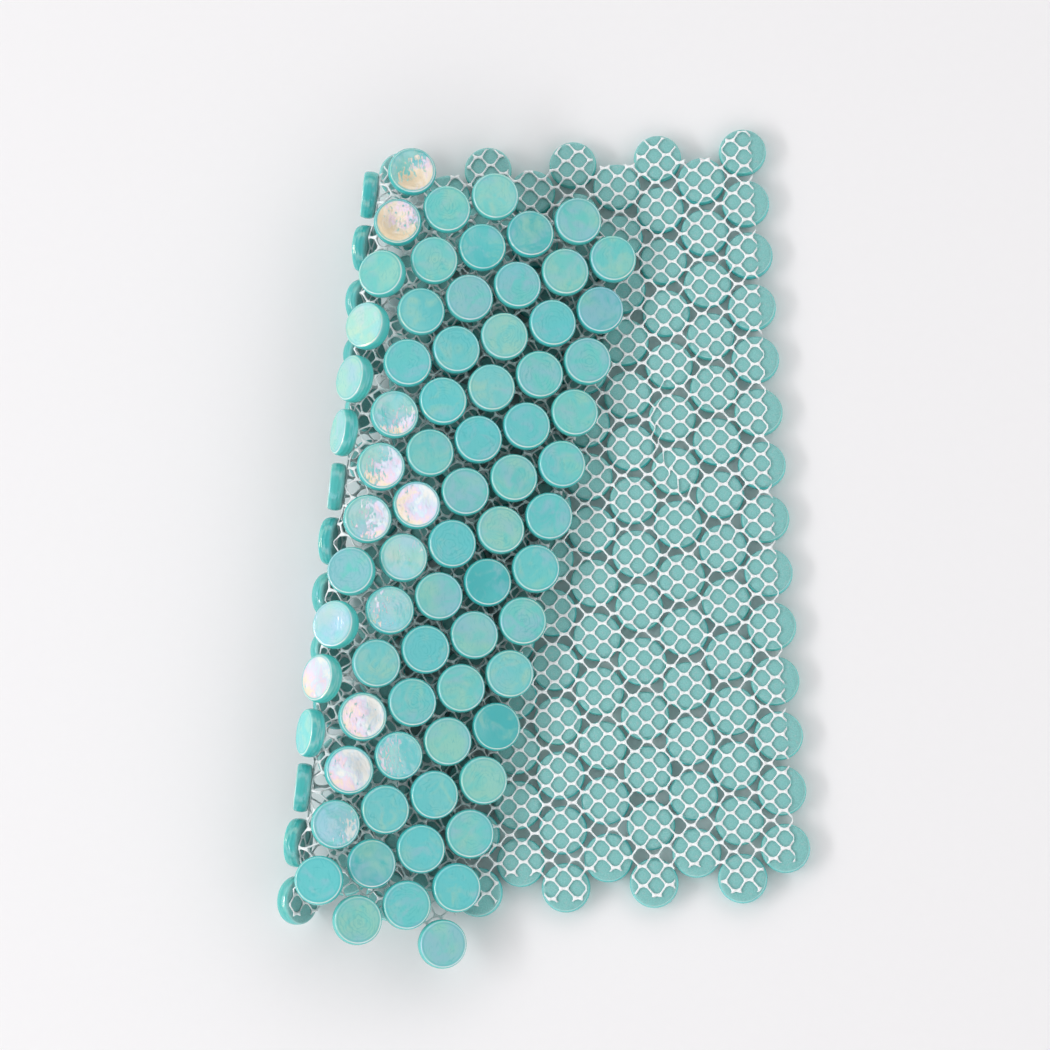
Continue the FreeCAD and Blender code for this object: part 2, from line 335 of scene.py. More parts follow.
# tiles that mirror the softbox, by column and place in it, counted from 0: to which side of the
# face the shine lies (x and y) and how much of the face it covers, from -1 for none to 1 for
# all;
# the shine is partly a painted reflection
SHINING = {
    (10, 0): (0.5, -0.6, 0.2), (10, 1): (-0.3, 0.0, 0.5), (11, 4): (0.4, -0.7, -0.2),
    (11, 5): (0.6, -0.4, 0.2), (11, 6): (0.8, -0.1, 0.1), (11, 9): (0.0, 0.2, 0.7),
    (12, 6): (0.1, 0.0, 0.6), (12, 7): (0.3, 0.3, -0.5), (12, 8): (-0.4, 0.1, -0.3),
    (12, 10): (0.1, 0.0, 0.6), (12, 11): (0.2, 0.0, 0.7), (12, 12): (0.6, -0.4, -0.4),
    (13, 10): (-0.5, 0.0, -0.2),
}
NO_SHINE = (0.0, 0.0, -3.0)


def tile_lean(place, spot, axis):
    """How a tile is askew: towards mirroring the softbox for the named ones, else away."""
    to_eye = (camera_place - spot).normalized()
    ray = 2 * axis.dot(to_eye) * axis - to_eye
    if axis.z < STEEP or ray.z < LOW_RAY:
        return Vector((0, 0, askew_up * (place in SHINING)))
    beside = spot.y + ray.y / ray.z * softbox_place.z - softbox_place.y
    beside = max(min(beside, softbox_reach), -softbox_reach)
    aim = softbox_place + Vector((0, beside, 0))
    askew = (to_eye + (aim - spot).normalized()).normalized() - axis
    if place in SHINING:
        return askew
    return askew * -max(least_askew / askew.length - 1, 0)


print("tiles that mirror the softbox:", len(SHINING))

# %% [markdown]
# ## Columns of tiles
#
# Each column of the frame gets one object with its fourteen tiles. Fourteen objects would do as
# well, but one keeps the list of pieces as short as the frame's. Five attributes go along for
# the finish: where the tile's back is, which way its axis points, how its face is askew, where
# its shine, partly a painted reflection, lies on it and a few chance numbers for its colour.

# %% Place the tiles
TILE_ATTRIBUTES = ("tile_back", "tile_axis", "tile_lean", "tile_shine", "tile_chance")


def add_object(name, data):
    """Puts a new object into the scene, at the origin."""
    thing = bpy.data.objects.new(name, data)
    bpy.context.scene.collection.objects.link(thing)
    return thing


def tile_column(column):
    """One column's tiles as one object."""
    cages = bmesh.new()
    for name in TILE_ATTRIBUTES:
        cages.verts.layers.float_vector.new(name)
    layers = [cages.verts.layers.float_vector[name] for name in TILE_ATTRIBUTES]
    for tile in range(tiles_in_column):
        known = set(cages.verts)
        cages.from_mesh(cage_mesh)
        added = [vert for vert in cages.verts if vert not in known]
        matrix = tile_matrix(column * tiles_in_column + tile)
        bmesh.ops.transform(cages, matrix=matrix, verts=added)
        axis = (matrix.to_3x3() @ Vector((0, 0, 1))).normalized()
        lean = tile_lean((column, tile), matrix.translation + tile_thickness * MM * axis, axis)
        shine = Vector(SHINING.get((column, tile), NO_SHINE))
        values = (matrix.translation, axis, lean, shine, Vector(chance.random(3)))
        for vert in added:
            for layer, value in zip(layers, values):
                vert[layer] = value
    for face in cages.faces:
        face.smooth = True
    name = "glass_tiles_%02d" % (column + 1)
    piece = add_object(name, as_mesh(cages, name))
    smooth = piece.modifiers.new("smooth", "SUBSURF")
    smooth.levels = smooth.render_levels = SMOOTH_LEVELS
    piece.modifiers.new("even_shading", "WEIGHTED_NORMAL")
    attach(piece, "root")
    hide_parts("tile_column_%02d" % (column + 1))
    return piece


columns = [tile_column(column) for column in range(column_count)]
print("tiles:", sum(len(piece.data.polygons) for piece in columns), "cage faces in all")

# %% [markdown]
# ## The net
#
# The net is knitted from white thread. Its cells are six-sided, with slanted sides of one thread
# and short level sides where two threads are knotted. A pattern image round the sheet would be
# less work, but then no thread would stand off the glass. So one cell is drawn here and repeated
# into a flat field that covers the whole net.

# %% Knit the flat net
cell_across, cell_up, knot_half, cell_merge = 5.03, 7.31, 1.1, 0.01
# the middle of one knot on the flat sheet
knot_x, knot_y = -19.85, -181.87
side_margin, top_margin, bottom_margin = 3.5, 8.0, 5.5
last_high, last_low = (tile_place(column, tiles_in_column - 1)[1] for column in (0, 1))
net_box = ((outer_column - side_margin, last_low - bottom_margin), (side_margin, top_margin))


def repeat(field, way, steps):
    """Adds shifted copies of all cells, each one step further along the way."""
    bmesh.ops.spin(
        field, geom=field.faces[:], dvec=way, axis=(0, 0, 1), steps=steps, use_duplicate=True
    )


def cell_field():
    """The hexagons, side by side over the whole net and a bit more."""
    field = bmesh.new()
    tip = cell_across - knot_half
    half_up = cell_up / 2
    corners = (
        (tip, 0), (knot_half, half_up), (-knot_half, half_up),
        (-tip, 0), (-knot_half, -half_up), (knot_half, -half_up),
    )
    (left, bottom), (right, top) = net_box
    pairs_left = math.ceil((knot_x - left) / cell_across / 2) + 1
    rows_down = math.ceil((knot_y - bottom) / cell_up) + 1
    start_x = knot_x - 2 * cell_across * pairs_left
    start_y = knot_y + half_up - cell_up * rows_down
    field.faces.new([field.verts.new((start_x + x, start_y + y, 0)) for x, y in corners])
    repeat(field, (0, cell_up, 0), math.ceil((top - start_y) / cell_up) + 1)
    repeat(field, (cell_across, half_up, 0), 1)
    pairs = math.ceil((right - start_x) / cell_across / 2) + 1
    repeat(field, (2 * cell_across, 0, 0), pairs)
    bmesh.ops.remove_doubles(field, verts=field.verts, dist=cell_merge)
    return field


net = cell_field()
print("net field:", len(net.faces), "cells")

# %% [markdown]
# ## Threads from cells
#
# The Wireframe modifier would turn the cells' sides into threads at once, but all would be
# square and equally thick. Here the cells' corners are cut so that the holes come out round,
# and each hole is inset by half a thread. What is left between the holes is raised to a ridge,
# thicker where a knot is. No row of a knitted net runs quite true, so the field is warped a
# little. In one place the net was joined badly, and its cells are squeezed along that seam.

# %% Round the holes and raise the threads
corner_cut, thread_half, thread_rise = 0.75, 0.33, 0.34
knot_thicker, knot_higher, knot_reach = 0.22, 0.35, 1.3
# how far the warps move the threads and how wide their waves are
warp_slow, slow_wave = 0.9, 45
warp_quick, quick_wave, quick_start = 0.16, 4, Vector((0, 0, 9))
# the seam bows out at seam_y and has slipped most at slip_y
seam_x, seam_y, slip_y, seam_bow, seam_half = -40.5, -108.0, -118.0, 0.0135, 26.0
seam_slip, seam_soft, seam_fade = Vector((-1.6, 1.4, 0)), 1.5, 25.0


def knot_offset(place):
    """From the nearest knot's middle to this place of the even field."""
    x, y = place.x - knot_x, place.y - knot_y
    row = round(x / cell_across)
    y -= cell_up / 2 * (row % 2)
    return x - row * cell_across, y - round(y / cell_up) * cell_up


def seam_shift(place):
    """How far the net has slipped here on either side of its seam."""
    beside = place.x - seam_x - seam_bow * (place.y - seam_y) ** 2
    fade = math.exp(-abs(beside) / seam_fade - ((place.y - slip_y) / seam_half) ** 2)
    return seam_slip * math.tanh(beside / seam_soft) * fade


bmesh.ops.bevel(
    net, geom=net.verts, offset=corner_cut, affect="VERTICES", segments=1, profile=0.5,
    material=-1,
)
# a hexagon with its corners cut has more than six
holes = [face for face in net.faces if len(face.verts) > 6]
bmesh.ops.inset_individual(net, faces=holes, thickness=thread_half, use_even_offset=True)
bmesh.ops.delete(net, geom=holes, context="FACES_ONLY")
net = in_order(net)
for vert in net.verts:
    off_x, off_y = knot_offset(vert.co)
    knot = math.exp(-(off_x / knot_reach) ** 2) * math.exp(-(off_y / knot_reach) ** 2)
    if vert.is_boundary:
        vert.co.y += math.copysign(knot_thicker * knot, off_y)
    else:
        vert.co.z = thread_rise * (1 + knot_higher * knot)
# without a seed the noise would differ in every run
noise.seed_set(2)
for vert in net.verts:
    spot = vert.co.xy.to_3d()
    slow = noise.noise_vector(spot / slow_wave) * warp_slow
    quick = noise.noise_vector(spot / quick_wave + quick_start) * warp_quick
    vert.co.xy += (slow + quick + seam_shift(vert.co)).xy
print("threads:", len(net.faces), "faces on one side")

# %% [markdown]
# ## Cut the net to size
#
# The net is cut from a roll with a straight blade. A Boolean with a box would do too, but it
# wants closed shapes, and the net is still one layer of faces. Cutting by planes works on that,
# and leaves the short loose ends that show on the outer tiles.

# %% Cut the sides and ends straight
def cut(spot, outward, faces, **settings):
    """Cuts these faces along a plane."""
    edges = dict.fromkeys(edge for face in faces for edge in face.edges)
    verts = dict.fromkeys(vert for face in faces for vert in face.verts)
    bmesh.ops.bisect_plane(
        net, geom=[*faces, *edges, *verts], plane_co=spot, plane_no=outward,
        dist=TOUCHING, **settings,
    )


(left, bottom), (right, top) = net_box
for spot, outward in (
    ((left, 0, 0), (-1, 0, 0)), ((right, 0, 0), (1, 0, 0)),
    ((0, bottom, 0), (0, -1, 0)), ((0, top, 0), (0, 1, 0)),
):
    cut(spot, outward, net.faces[:], clear_outer=True)
print("cut net:", len(net.faces), "faces on one side")

# %% [markdown]
# ## Trim the ends
#
# At its two ends the net is trimmed round the outer tiles, so no thread hangs free in the
# notches between them. Each tab is cut with a few planes side by side, as with snips, and the
# faces outside all tabs are dropped.

# %% Trim the ends round the tiles
tab_radius, tab_cuts, notch_gap = 8.2, 6, 0.8
tab_turns = np.linspace(0, math.pi, tab_cuts)
tab_sides = [Vector((math.cos(turn), math.sin(turn), 0)) for turn in tab_turns]
notch_top = tile_place(1, 0)[1] + tile_diameter / 2 - notch_gap
notch_bottom = last_high - bottom_margin


def trim_end(columns, row, way, start):
    """Trims one end round its outer tiles; way is 1 at the top end and -1 at the bottom."""
    def beyond():
        centres = ((face, face.calc_center_median()) for face in net.faces)
        return [(face, centre) for face, centre in centres if way * (centre.y - start) > 0]

    def outside(centre):
        return all(
            max((centre - middle).dot(side) for side in outwards) > tab_radius
            for middle in middles
        )

    outwards = [Vector((side.x, way * side.y, 0)) for side in tab_sides]
    middles = [Vector((*tile_place(column, row), 0)) for column in columns]
    cut((0, start, 0), (0, 1, 0), net.faces[:])
    for middle in middles:
        for outward in outwards:
            near = [face for face, c in beyond() if abs(c.x - middle.x) < column_spacing]
            cut(middle + tab_radius * outward, outward, near)
    off = [face for face, centre in beyond() if outside(centre)]
    bmesh.ops.delete(net, geom=off, context="FACES")


trim_end(range(0, column_count, 2), 0, 1, notch_top)
trim_end(range(1, column_count, 2), tiles_in_column - 1, -1, notch_bottom)
print("trimmed net:", len(net.faces), "faces on one side")

# %% [markdown]
# ## Close the threads
#
# So far a thread is only the ridge on its upper side. Mirrored, it gets a closed section. A
# Mirror modifier would do that too, but the ends of the cut threads have to be closed as well,
# and slivers where two cuts meet have to be merged first.

# %% Mirror the ridges and close their ends
sliver = 0.02


def open_edges():
    """The net's edges that have a face on one side only."""
    return [edge for edge in net.edges if edge.is_boundary]


whole = net.verts[:] + net.edges[:] + net.faces[:]
bmesh.ops.mirror(net, geom=whole, matrix=Matrix(), merge_dist=TOUCHING, axis="Z")
rims = [vert for vert in net.verts if vert.is_boundary]
bmesh.ops.remove_doubles(net, verts=rims, dist=sliver)
bmesh.ops.holes_fill(net, edges=open_edges(), sides=0)
# ends that touch at a corner are left over, and triangles close those
bmesh.ops.triangle_fill(net, edges=open_edges(), use_beauty=True)
bmesh.ops.recalc_face_normals(net, faces=net.faces)
print("net:", len(net.faces), "faces, open edges left:", len(open_edges()))

# %% [markdown]
# ## Lay the net on the tiles
#
# Glued to stiff tiles, the net can't follow the smooth curl: it is flat on each back and bridges
# the gaps from one tile's rim to the next. So each point starts on the smooth curl and is moved
# as its tile takes it. In a gap the moves of the nearest places on the rims are blended by how
# near they are, which spreads the stretch evenly over the gap.

# %% Bend the net
glued_radius, pull_radius, pull_soft = 8.2, 15.0, 0.005
thread_sink = 0.08


def net_points(flat):
    """The bent places of the net's points, in millimetres."""
    moves, faces = np.zeros((len(flat), 3)), np.zeros((len(flat), 3))
    total = np.zeros(len(flat))
    for number, place in enumerate(places):
        off = flat[:, :2] - place
        far = np.hypot(*off.T)
        near = np.flatnonzero(far < pull_radius)
        off, far = off[near], far[near]
        beyond = np.maximum(far - glued_radius, 0)
        weight = (1 - far / pull_radius) ** 2 / (beyond + pull_soft)
        # far is kept above 0 at the tile's own middle
        held = off * np.minimum(glued_radius / np.maximum(far, TOUCHING), 1)[:, None]
        own_ways = np.array([axis[number] for axis in tile_ways])
        spot = tile_back[number] + held @ own_ways[:2]
        moves[near] += weight[:, None] * (spot - bent(*(held + place).T))
        faces[near] += weight[:, None] * own_ways[2]
        total[near] += weight
    depth = glue_film + thread_sink + flat[:, 2]
    return bent(*flat[:, :2].T) + moves / total[:, None] - depth[:, None] * unit(faces)


net_mesh = as_mesh(net, "backing_net")
flat = np.empty(3 * len(net_mesh.vertices))
net_mesh.vertices.foreach_get("co", flat)
spots = (net_points(flat.reshape(-1, 3)) - origin) * MM
net_mesh.vertices.foreach_set("co", spots.ravel())
net_mesh.shade_smooth()
net_piece = add_object("backing_net", net_mesh)
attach(net_piece, "root")
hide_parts("mesh_backing")
print("net box in mm:", (1000 * spots.min(0)).round(1), (1000 * spots.max(0)).round(1))

# %% [markdown]
# ## Writing finishes
#
# A finish is a small tree of shader nodes. Clicking one together is fine, but in a script the
# maths gets long, so a node's output is wrapped in a class that knows Python's operators. An
# expression such as 1 - mask * 0.5 then adds its Math nodes by itself.

# %% Shader maths as expressions
class Wire:
    """A node's output that can be used in an expression."""

    def __init__(self, finish, socket):
        self.finish, self.socket = finish, socket

    def maths(self, operation, *values):
        return self.finish.maths(operation, *values)

    def __add__(self, other):
        return self.maths("ADD", self, other)

    def __sub__(self, other):
        return self.maths("SUBTRACT", self, other)

    def __rsub__(self, other):
        return self.maths("SUBTRACT", other, self)

    def __mul__(self, other):
        return self.maths("MULTIPLY", self, other)

    def __truediv__(self, other):
        return self.maths("DIVIDE", self, other)

    __radd__, __rmul__ = __add__, __mul__

# %% [markdown]
# ## Nodes for a finish
#
# One method adds any node, and short ones stand for the nodes that come up again and again. The
# numbers given to noise are the width of its patches in millimetres, its detail and its
# distortion. Those given to ease are where a mask is 0 and where it is 1.

# %% Collect the nodes of a finish
class Finish:
    """The nodes of a material, or of the room's light, under construction."""

    def __init__(self, owner):
        self.owner = owner
        owner.use_nodes = True
        self.tree = owner.node_tree
        self.tree.nodes.clear()

    def node(self, kind, settings=None, sockets=None, output=0):
        """Adds a node: its settings first, then the values or links of its sockets."""
        made = self.tree.nodes.new("ShaderNode" + kind)
        for name, value in (settings or {}).items():
            if name == "stops":
                self.set_stops(made.color_ramp.elements, value)
            else:
                setattr(made, name, value)
        for name, value in (sockets or {}).items():
            if isinstance(value, Wire):
                self.tree.links.new(value.socket, made.inputs[name])
            else:
                made.inputs[name].default_value = value
        return None if output is None else Wire(self, made.outputs[output])

    def set_stops(self, elements, stops):
        """Gives a colour ramp its places and colours."""
        while len(elements) < len(stops):
            elements.new(1.0)
        for element, (place, colour) in zip(elements, stops):
            element.position, element.color = place, (*colour, 1)

    def maths(self, operation, *values):
        return self.node("Math", {"operation": operation}, dict(enumerate(values)))

    def mix(self, share, first, second):
        """A colour between two colours."""
        first, second = (c if isinstance(c, Wire) else (*c, 1) for c in (first, second))
        return self.node("Mix", {"data_type": "RGBA"}, {0: share, 6: first, 7: second}, 2)

    def vector(self, operation, first, second, output=0):
        return self.node("VectorMath", {"operation": operation}, {0: first, 1: second}, output)

    def attribute(self, name):
        return self.node("Attribute", {"attribute_name": name}, output="Vector")

    def part(self, wire, axis):
        """One number of a vector: 0 for x, 1 for y and 2 for z."""
        return self.node("SeparateXYZ", sockets={0: wire}, output=axis)

    def noise(self, place, size, detail=2.0, distortion=0.0):
        """Soft noise whose patches are about this many millimetres wide."""
        sockets = {"Vector": place, "Scale": 1 / (size * MM)}
        sockets.update({"Detail": detail, "Distortion": distortion})
        return self.node("TexNoise", None, sockets)

    def ease(self, wire, low, high):
        """0 below low, 1 above high and smooth between them."""
        settings = {"interpolation_type": "SMOOTHSTEP"}
        return self.node("MapRange", settings, {0: wire, 1: low, 2: high, 3: 0.0, 4: 1.0})

    def bump(self, height, **sockets):
        """A height in millimetres as a change of the surface's slope."""
        sockets.update({"Height": height * MM, "Distance": 1.0, "Strength": 1.0})
        return self.node("Bump", None, sockets)

    def gloss(self, **sockets):
        """The all-purpose surface shader; underscores in the names stand for spaces."""
        sockets = {name.replace("_", " "): value for name, value in sockets.items()}
        return self.node("BsdfPrincipled", None, sockets)

    def blend(self, share, first, second):
        """A surface between two surfaces."""
        return self.node("MixShader", None, {0: share, 1: first, 2: second})

    def done(self, surface, output="OutputMaterial"):
        """Ends the finish and says how many nodes it has."""
        self.node(output, None, {"Surface": surface}, None)
        print(self.owner.name, "has", len(self.tree.nodes), "nodes")
        return self.owner

# %% [markdown]
# ## Where on the tile
#
# One object holds fourteen tiles, so their finish has to know which tile a point is on and where
# on it. The attributes tell: the way from the tile's back to the point, split along the tile's
# axis, gives the height over the back and the distance from the axis. Rings and sides of a tile
# are then simple masks, without a texture map and its seams.

# %% Measure where a point is on its tile
FACE_HEIGHTS, BACK_HEIGHTS = (5.4, 5.9), (0.2, 1.4)

glass = Finish(bpy.data.materials.new("pearly_glass"))
spot = glass.node("TexCoord", output="Object")
axis, luck = glass.attribute("tile_axis"), glass.attribute("tile_chance")
luck_a, luck_b, luck_c = (glass.part(luck, way) for way in range(3))
inside = glass.vector("SUBTRACT", spot, glass.attribute("tile_back"))
rise = glass.vector("DOT_PRODUCT", inside, axis, "Value")
up = glass.node("VectorMath", {"operation": "SCALE"}, {0: axis, "Scale": rise})
outward = glass.vector("SUBTRACT", inside, up)
radius = glass.vector("LENGTH", outward, (0, 0, 0), "Value") / MM
height = rise / MM
on_face = glass.ease(height, *FACE_HEIGHTS)
on_back = 1 - glass.ease(height, *BACK_HEIGHTS)


def ring(middle, core, edge):
    """1 within core millimetres of a ring round the axis and 0 beyond edge."""
    return 1 - glass.ease(glass.maths("ABSOLUTE", radius - middle), core, edge)


print("face from", FACE_HEIGHTS[1], "mm up, back below", BACK_HEIGHTS[0], "mm")

# %% [markdown]
# ## Cloudy glass
#
# Every tile is from a slightly different melt: bluer or greener, milky or deep, with soft clouds
# running through it. A plain tint for each tile would look painted, so each tile's chance
# numbers only shift the noise that mixes the colours. Its face has pearly clouds on top, which
# are a painted sheen of its film.

# %% Colour the glass
AQUA, GREEN = (0.17, 0.71, 0.73), (0.20, 0.73, 0.67)
DEEP, MILKY = (0.05, 0.52, 0.54), (0.35, 0.78, 0.75)
LILAC, STRAW = (0.40, 0.64, 0.78), (0.44, 0.77, 0.61)
MILKY_SHARE, DEEP_SHARE, PAINTED_SHEEN_SHARE = 0.7, 0.8, 0.6

slow, patch = glass.noise(spot, 24), glass.noise(spot, 8, 3, 1.2)
colour = glass.mix(glass.ease(luck_a + slow - 0.5, 0.2, 0.8), AQUA, GREEN)
milky = glass.ease(luck_b + patch * 0.6, 0.9, 1.5)
colour = glass.mix(milky * MILKY_SHARE, colour, MILKY)
deep = glass.ease(luck_c + slow * 0.5, 0.5, 0.2)
colour = glass.mix(deep * DEEP_SHARE, colour, DEEP)
# painted sheen: pearly clouds of lilac and straw on the face stand for its film's sheen
painted_sheen_colour = glass.mix(glass.ease(glass.noise(spot, 14) + luck_b * 0.3, 0.5, 0.8), LILAC, STRAW)
painted_sheen = on_face * glass.ease(patch + luck_a * 0.3, 0.5, 0.85)
colour = glass.mix(painted_sheen * PAINTED_SHEEN_SHARE, colour, painted_sheen_colour)
print("glass colours:", len(glass.tree.nodes), "nodes so far")

# %% [markdown]
# ## Marks, rings and walls
#
# Stirring and pressing leave a swirl round the middle of the face, fine streaks and a groove
# near the rim, and the groove's shade is painted as a darker ring. The walls are painted darker
# than the face, as painted shade, since less light comes out of them. A thin ridge round the
# face and the edge of the back catch light on the side away from the side lamp, where it has
# passed through the glass. A shader for real glass would do that by itself, but cloudy glass
# renders slowly and with noise, so the rings get a painted highlight instead.

# %% Add the marks, the painted shade and the painted highlights
SWIRL_TURNS, SWIRL_BEND = 4.0, 34
# streaks run along y, so the noise is stretched that way
STREAK_SCALE = (1, 0.35, 1)
SWIRL_SHARE, STREAK_SHARE, GROOVE_SHADE_SHARE = 0.3, 0.6, 0.7
WALL_DARK, WALL_SHADE_SHARE, RIM_LIGHT = (0.03, 0.45, 0.44), 0.65, (0.78, 0.93, 0.90)
WALL_RADII, WALL_HEIGHTS = (8.5, 9.2), (-0.5, 2.5)
# each ring's distance from the axis, and how far beside it the ring starts to fade and is gone
FACE_GROOVE, FACE_RIDGE, BACK_RIDGE = (7.95, 0.1, 0.5), (8.6, 0.08, 0.28), (8.95, 0.08, 0.28)
# the way across the tile, per metre, in which the painted highlights on the rings get brighter
LIT_WAY = (60.0, -104.0, 0)
RIDGE_UNEVEN, RIDGE_LEAST, BACK_RIDGE_HEIGHTS = 1.4, 0.08, (1.0, 0.4)

swirl = glass.maths("SINE", radius * SWIRL_TURNS + glass.noise(spot, 6, 3) * SWIRL_BEND)
streaks = glass.noise(glass.vector("MULTIPLY", spot, STREAK_SCALE), 0.8, 3, 0.6)
# painted shade: the groove near the rim is only a darker ring in the colour
groove_shade = ring(*FACE_GROOVE)
marked = glass.ease(glass.noise(spot, 7) + luck_c * 0.2, 0.55, 0.8)
marks_and_groove_shade = glass.ease(swirl, 0.2, 1.0) * marked * SWIRL_SHARE
marks_and_groove_shade = marks_and_groove_shade + glass.ease(streaks, 0.5, 0.8) * patch * STREAK_SHARE
marks_and_groove_shade = glass.maths("MAXIMUM", marks_and_groove_shade, groove_shade * patch * GROOVE_SHADE_SHARE)
# the swirl and streaks are marks in the glass, the groove's darker ring is painted shade
colour = glass.mix(on_face * marks_and_groove_shade, colour, DEEP)
# painted shade: the walls are darker than the face
wall_shade = glass.ease(radius, *WALL_RADII) * glass.ease(height, *WALL_HEIGHTS)
colour = glass.mix(wall_shade * WALL_SHADE_SHARE, colour, WALL_DARK)

lit_side = glass.vector("DOT_PRODUCT", outward, LIT_WAY, "Value")
# painted highlight: a pale ring on the face's ridge, brighter on the side away from the side
# lamp
face_ridge_highlight = ring(*FACE_RIDGE) * on_face
uneven = glass.noise(spot, 5) * RIDGE_UNEVEN
face_ridge_highlight = face_ridge_highlight * (glass.ease(lit_side, -0.7, 0.9) * uneven + RIDGE_LEAST)
# painted highlight: a pale ring on the back's edge, mixed into the back's colour further down
back_edge_highlight = ring(*BACK_RIDGE)
back_edge_highlight = back_edge_highlight * glass.ease(height, *BACK_RIDGE_HEIGHTS)
back_edge_highlight = back_edge_highlight * glass.ease(lit_side, 0.2, 0.9)
colour = glass.mix(face_ridge_highlight, colour, RIM_LIGHT)
print("marks and rings:", len(glass.tree.nodes), "nodes so far")

# %% [markdown]
# ## Patches of painted shine
#
# Where a face mirrors the softbox, its film shows gold, pink, lilac and sky blue. The shader's
# own film colours come out paler than that on blue-green glass, so part of the colour is a
# painted reflection mixed into the base colour, and the patch is made a little like metal, which
# keeps a reflection's colour. A patch lies on the named side of the face, and its edge is broken
# up by clouds and streaks.

# %% Colour the shine, partly a painted reflection
PAINTED_SHINE_STOPS = (
    (0.25, (1.0, 0.84, 0.58)), (0.4, (1.0, 0.92, 0.76)), (0.5, (0.98, 0.80, 0.88)),
    (0.6, (0.84, 0.82, 1.0)), (0.7, (0.74, 0.92, 1.0)), (0.85, (0.95, 1.0, 0.96)),
)
# how much clouds and streaks break the edge, and both of their means taken off again
EDGE_CLOUDS, EDGE_STREAKS, EDGE_MEAN = 1.2, 2.6, 1.85
# the way across the tile, per metre, in which the hue turns, and what else turns it
HUE_WAY, HUE_STREAKS, HUE_BY_PLACE, HUE_START = (25.0, 15.0, 0), 0.5, 1.5, 0.18
SHINE_EDGE, SHINE_RADII = (0.0, 0.35), (8.3, 7.6)

shine = glass.attribute("tile_shine")
across_face = glass.vector("MULTIPLY", outward, (1, 1, 0))
toward = glass.vector("DOT_PRODUCT", across_face, shine, "Value")
painted_and_metal_shine = toward / (FACE_RIDGE[0] * MM) + glass.part(shine, 2)
painted_and_metal_shine = painted_and_metal_shine + glass.noise(spot, 4, 3, 0.8) * EDGE_CLOUDS
painted_and_metal_shine = painted_and_metal_shine + streaks * EDGE_STREAKS - EDGE_MEAN
painted_and_metal_shine = glass.ease(painted_and_metal_shine, *SHINE_EDGE) * on_face * glass.ease(radius, *SHINE_RADII)
hue = glass.vector("DOT_PRODUCT", outward, HUE_WAY, "Value") + glass.noise(spot, 6, 2, 1.0)
hue = hue + streaks * HUE_STREAKS - glass.part(spot, 1) * HUE_BY_PLACE - HUE_START
painted_shine_colour = glass.node("ValToRGB", {"stops": PAINTED_SHINE_STOPS}, {0: hue})
# painted reflection: the shine's gold, pink, lilac and sky blue go into the base colour
colour = glass.mix(painted_and_metal_shine, colour, painted_shine_colour)
print("patches of shine:", len(glass.tree.nodes), "nodes so far")

# %% [markdown]
# ## Relief of the glass
#
# The face has long waves left by the rollers, the swirl and the streaks, and the wall has fine
# lines round it, which break the side lamp's reflection into streaks. All of that is far too
# shallow to be worth geometry. Bump shades it, from heights in millimetres. The shading is also
# turned by each tile's lean, so that the right tiles mirror the softbox.

# %% Shade the relief
WAVE_DEPTH, WAVE_CALM, SWIRL_DEPTH = 0.05, 0.03, 0.0015
STREAK_DEPTH, SHINY_STREAK_DEPTH, PITTED_DEPTH = 0.025, 0.008, 0.02
LINES_PER_MM, LINE_BEND, LINE_DEPTH, LINE_RADII = 4.2, 6, 0.03, (8.6, 9.2)

streaked = glass.ease(glass.noise(spot, 6), 0.45, 0.65) * (1 - painted_and_metal_shine)
relief = glass.noise(spot, 9) * (WAVE_DEPTH - painted_and_metal_shine * WAVE_CALM) + swirl * SWIRL_DEPTH
streak_depth = streaked * STREAK_DEPTH + painted_and_metal_shine * SHINY_STREAK_DEPTH
relief = (relief + streaks * streak_depth) * on_face
lines = glass.maths("SINE", height * LINES_PER_MM + glass.noise(spot, 4) * LINE_BEND)
lines = lines * LINE_DEPTH * glass.ease(radius, *LINE_RADII)
normal = glass.node("NewGeometry", output="Normal")
askew = glass.vector("ADD", normal, glass.attribute("tile_lean"))
askew = glass.vector("NORMALIZE", askew, (0, 0, 0))
wavy = glass.bump(relief + lines + glass.noise(spot, 3) * PITTED_DEPTH, Normal=askew)
print("relief:", len(glass.tree.nodes), "nodes so far")

# %% [markdown]
# ## Pearly film
#
# A thin clear film is fired onto the face, which shows faint rainbow colours where it catches a
# lamp. Real film colour comes from its thickness, and the shader has that as Thin Film. Its
# thickness can't vary over a surface, so shaders with different films are blended by slow noise.

# %% Blend the films
GOLD_FILM, LILAC_FILM, PINK_FILM = 240.0, 290.0, 380.0
FILM_IOR, GLASS_IOR = 2.0, 1.5
PLAIN_GLOSS, LESS_GLOSS, METAL_SHARE = 0.08, 0.06, 0.35
FILM_ANYWHERE, FILM_ON_FACE, LILAC_SHARE = 0.25, 0.35, 0.7

common = {"IOR": GLASS_IOR, "Normal": wavy, "Base_Color": colour}
common["Roughness"] = painted_and_metal_shine * LESS_GLOSS + PLAIN_GLOSS
common["Metallic"] = painted_and_metal_shine * METAL_SHARE
gold, lilac, pink = (
    glass.gloss(Thin_Film_Thickness=film, Thin_Film_IOR=FILM_IOR, **common)
    for film in (GOLD_FILM, LILAC_FILM, PINK_FILM)
)
film = glass.blend(glass.ease(glass.noise(spot, 7, 2, 0.5), 0.35, 0.65), gold, pink)
to_lilac = glass.ease(glass.noise(spot, 11) + luck_a * 0.3, 0.5, 0.9)
film = glass.blend(to_lilac * LILAC_SHARE, film, lilac)
front = glass.blend(on_face * FILM_ON_FACE + FILM_ANYWHERE, glass.gloss(**common), film)
print("films:", len(glass.tree.nodes), "nodes so far")

